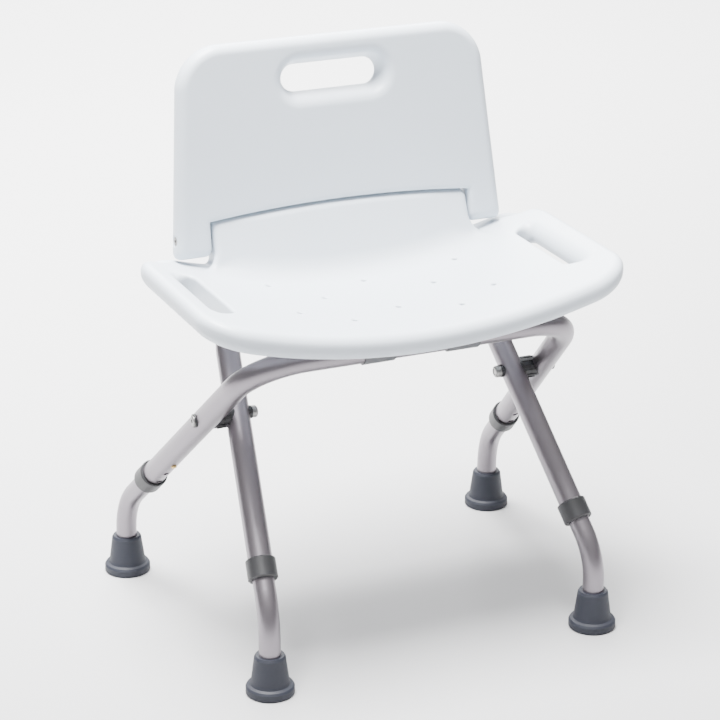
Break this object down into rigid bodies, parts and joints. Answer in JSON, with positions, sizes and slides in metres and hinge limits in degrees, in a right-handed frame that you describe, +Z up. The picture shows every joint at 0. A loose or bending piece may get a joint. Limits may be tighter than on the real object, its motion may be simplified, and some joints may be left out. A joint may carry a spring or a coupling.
{
  "type": "folding shower chair",
  "caption": "Folding shower chair with a dished white moulded seat, side hand slots, fold-down backrest and crossed aluminium U frames with adjustable legs and rubber feet.",
  "frame": {"origin": "On the floor, under the middle of the chair: centre of the bounding box in X and Y, bottom in Z.", "axes": "+X to the viewer's right when facing the chair, +Y towards the backrest, +Z up."},
  "size_m": [0.5596, 0.4286, 0.6799],
  "materials": {
    "white_plastic": "satin",
    "tube": "satin anodised",
    "foot_rubber": "matte",
    "grey_plastic": "satin",
    "black_plastic": "matte",
    "dark_strap": "satin",
    "steel": "zinc plated",
    "brass": "satin"
  },
  "bodies": {
    "seat": {"seat": "white_plastic", "strap_r": "dark_strap", "strap_l": "dark_strap", "strap_screws": "steel", "hook_r": "dark_strap", "hook_l": "dark_strap", "hook_screws": "steel", "hinge_pin_r": "steel", "hinge_pin_l": "steel"},
    "backrest": {"backrest": "white_plastic", "bush_r": "black_plastic", "bush_l": "black_plastic"},
    "outer_frame": {"outer_frame": "tube", "collar_back_r": "grey_plastic", "collar_back_l": "grey_plastic", "pivot_bolt_r": "steel", "pivot_bolt_l": "steel", "pivot_nut_r": "steel", "pivot_nut_l": "steel", "washer_out_r": "black_plastic", "washer_out_l": "black_plastic", "spacer_out_r": "black_plastic", "spacer_out_l": "black_plastic"},
    "inner_frame": {"inner_frame": "tube", "collar_front_r": "grey_plastic", "collar_front_l": "grey_plastic", "washer_in_r": "black_plastic", "washer_in_l": "black_plastic", "spacer_in_r": "black_plastic", "spacer_in_l": "black_plastic"},
    "leg_back_r": {"leg_back_r": "tube", "foot_back_r": "foot_rubber", "disc_back_r": "steel", "spring_back_r": "steel"},
    "button_back_r": {"button_back_r": "brass"},
    "leg_back_l": {"leg_back_l": "tube", "foot_back_l": "foot_rubber", "disc_back_l": "steel", "spring_back_l": "steel"},
    "button_back_l": {"button_back_l": "brass"},
    "leg_front_r": {"leg_front_r": "tube", "foot_front_r": "foot_rubber", "disc_front_r": "steel", "spring_front_r": "steel"},
    "button_front_r": {"button_front_r": "brass"},
    "leg_front_l": {"leg_front_l": "tube", "foot_front_l": "foot_rubber", "disc_front_l": "steel", "spring_front_l": "steel"},
    "button_front_l": {"button_front_l": "brass"}
  },
  "joints": [
    {"name": "backrest_fold", "type": "hinge", "parent": "seat", "child": "backrest", "pos_m": [0, 0.096, 0.456], "axis": [1, 0, 0], "range_deg": [0, 96]},
    {"name": "frame_fold", "type": "hinge", "parent": "seat", "child": "outer_frame", "pos_m": [0, -0.131, 0.377], "axis": [1, 0, 0], "range_deg": [0, 34]},
    {"name": "scissor_pivot", "type": "hinge", "parent": "outer_frame", "child": "inner_frame", "pos_m": [0, -0.019, 0.276], "axis": [1, 0, 0], "range_deg": [-73.08, 0]},
    {"name": "leg_back_r_slide", "type": "slide", "parent": "outer_frame", "child": "leg_back_r", "axis": [0.1184, 0.7374, -0.665], "range_m": [0, 0.0508], "deforming": ["button_back_r", "spring_back_r"]},
    {"name": "button_back_r_press", "type": "slide", "parent": "leg_back_r", "child": "button_back_r", "axis": [0, 0.6697, 0.7426], "range_m": [0, 0.0044], "stiffness_N_per_m": 2000, "springref_m": -0.001, "deforming": ["spring_back_r"]},
    {"name": "leg_back_l_slide", "type": "slide", "parent": "outer_frame", "child": "leg_back_l", "axis": [-0.1184, 0.7374, -0.665], "range_m": [0, 0.0508], "deforming": ["button_back_l", "spring_back_l"]},
    {"name": "button_back_l_press", "type": "slide", "parent": "leg_back_l", "child": "button_back_l", "axis": [0, 0.6697, 0.7426], "range_m": [0, 0.0044], "stiffness_N_per_m": 2000, "springref_m": -0.001, "deforming": ["spring_back_l"]},
    {"name": "leg_front_r_slide", "type": "slide", "parent": "inner_frame", "child": "leg_front_r", "axis": [0.1184, -0.6687, -0.7341], "range_m": [0, 0.0508], "deforming": ["button_front_r", "spring_front_r"]},
    {"name": "button_front_r_press", "type": "slide", "parent": "leg_front_r", "child": "button_front_r", "axis": [0, -0.7393, 0.6734], "range_m": [0, 0.0044], "stiffness_N_per_m": 2000, "springref_m": -0.001, "deforming": ["spring_front_r"]},
    {"name": "leg_front_l_slide", "type": "slide", "parent": "inner_frame", "child": "leg_front_l", "axis": [-0.1184, -0.6687, -0.7341], "range_m": [0, 0.0508], "deforming": ["button_front_l", "spring_front_l"]},
    {"name": "button_front_l_press", "type": "slide", "parent": "leg_front_l", "child": "button_front_l", "axis": [0, -0.7393, 0.6734], "range_m": [0, 0.0044], "stiffness_N_per_m": 2000, "springref_m": -0.001, "deforming": ["spring_front_l"]}
  ],
  "couplings": [
    {"joint": "scissor_pivot", "follows": "frame_fold", "ratio": -2.149}
  ]
}
